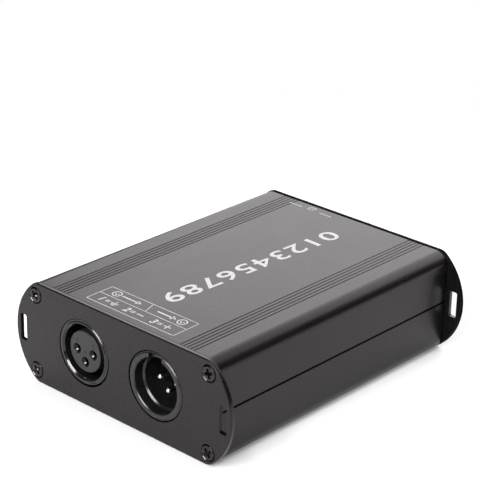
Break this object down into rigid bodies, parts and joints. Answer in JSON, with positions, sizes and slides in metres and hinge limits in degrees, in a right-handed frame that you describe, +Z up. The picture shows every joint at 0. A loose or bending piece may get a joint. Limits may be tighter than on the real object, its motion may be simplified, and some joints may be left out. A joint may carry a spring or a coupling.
{
  "type": "usb dmx interface",
  "caption": "Small lighting control interface: split aluminium box with eared end plates, one female and one male three-pole round connector in front, and a square USB socket behind.",
  "frame": {"origin": "under the middle of the box, on the surface it stands on", "axes": "+X to the right seen from the front plate, +Y from the front plate to the rear plate, +Z up"},
  "size_m": [0.1016, 0.1226, 0.038],
  "materials": {
    "shell_anodised": "matte",
    "plate_anodised": "matte",
    "screw_black": "satin",
    "connector_black": "satin",
    "insert_grey": "matte",
    "contact_silver": "polished",
    "socket_tinned": "satin",
    "board_green": "satin",
    "chip_epoxy": "matte",
    "capacitor_sleeve": "satin"
  },
  "bodies": {
    "enclosure": {"upper_shell": "shell_anodised", "lower_shell": "shell_anodised", "female_connector_housing": "connector_black", "female_connector_insert": "insert_grey", "female_contact_1": "contact_silver", "female_contact_2": "contact_silver", "female_contact_3": "contact_silver", "male_connector_housing": "connector_black", "male_connector_base": "connector_black", "male_pin_1": "contact_silver", "male_pin_2": "contact_silver", "male_pin_3": "contact_silver", "usb_socket_shell": "socket_tinned", "usb_socket_body": "connector_black", "usb_contact_1": "contact_silver", "usb_contact_2": "contact_silver", "usb_contact_3": "contact_silver", "usb_contact_4": "contact_silver", "circuit_board": "board_green", "microcontroller": "chip_epoxy", "usb_bridge_chip": "chip_epoxy", "output_transceiver": "chip_epoxy", "input_transceiver": "chip_epoxy", "isolation_coupler": "chip_epoxy", "supply_capacitor_1": "capacitor_sleeve", "supply_capacitor_2": "capacitor_sleeve", "crystal": "socket_tinned", "voltage_regulator": "chip_epoxy", "isolated_supply_module": "chip_epoxy"},
    "front_end": {"front_plate": "plate_anodised"},
    "rear_end": {"rear_plate": "plate_anodised"},
    "front_ul_screw": {"front_screw_upper_left": "screw_black"},
    "front_ur_screw": {"front_screw_upper_right": "screw_black"},
    "front_ll_screw": {"front_screw_lower_left": "screw_black"},
    "front_lr_screw": {"front_screw_lower_right": "screw_black"},
    "rear_ul_screw": {"rear_screw_upper_left": "screw_black"},
    "rear_ur_screw": {"rear_screw_upper_right": "screw_black"},
    "rear_ll_screw": {"rear_screw_lower_left": "screw_black"},
    "rear_lr_screw": {"rear_screw_lower_right": "screw_black"}
  },
  "joints": [
    {"name": "front_plate_slide", "type": "slide", "parent": "enclosure", "child": "front_end", "axis": [0, -1, 0], "range_m": [0, 0.025]},
    {"name": "rear_plate_slide", "type": "slide", "parent": "enclosure", "child": "rear_end", "axis": [0, 1, 0], "range_m": [0, 0.025]},
    {"name": "front_ul_screw_withdraw", "type": "slide", "parent": "front_end", "child": "front_ul_screw", "axis": [0, -1, 0], "range_m": [0, 0.0093]},
    {"name": "front_ur_screw_withdraw", "type": "slide", "parent": "front_end", "child": "front_ur_screw", "axis": [0, -1, 0], "range_m": [0, 0.0093]},
    {"name": "front_ll_screw_withdraw", "type": "slide", "parent": "front_end", "child": "front_ll_screw", "axis": [0, -1, 0], "range_m": [0, 0.0093]},
    {"name": "front_lr_screw_withdraw", "type": "slide", "parent": "front_end", "child": "front_lr_screw", "axis": [0, -1, 0], "range_m": [0, 0.0093]},
    {"name": "rear_ul_screw_withdraw", "type": "slide", "parent": "rear_end", "child": "rear_ul_screw", "axis": [0, 1, 0], "range_m": [0, 0.0093]},
    {"name": "rear_ur_screw_withdraw", "type": "slide", "parent": "rear_end", "child": "rear_ur_screw", "axis": [0, 1, 0], "range_m": [0, 0.0093]},
    {"name": "rear_ll_screw_withdraw", "type": "slide", "parent": "rear_end", "child": "rear_ll_screw", "axis": [0, 1, 0], "range_m": [0, 0.0093]},
    {"name": "rear_lr_screw_withdraw", "type": "slide", "parent": "rear_end", "child": "rear_lr_screw", "axis": [0, 1, 0], "range_m": [0, 0.0093]}
  ]
}
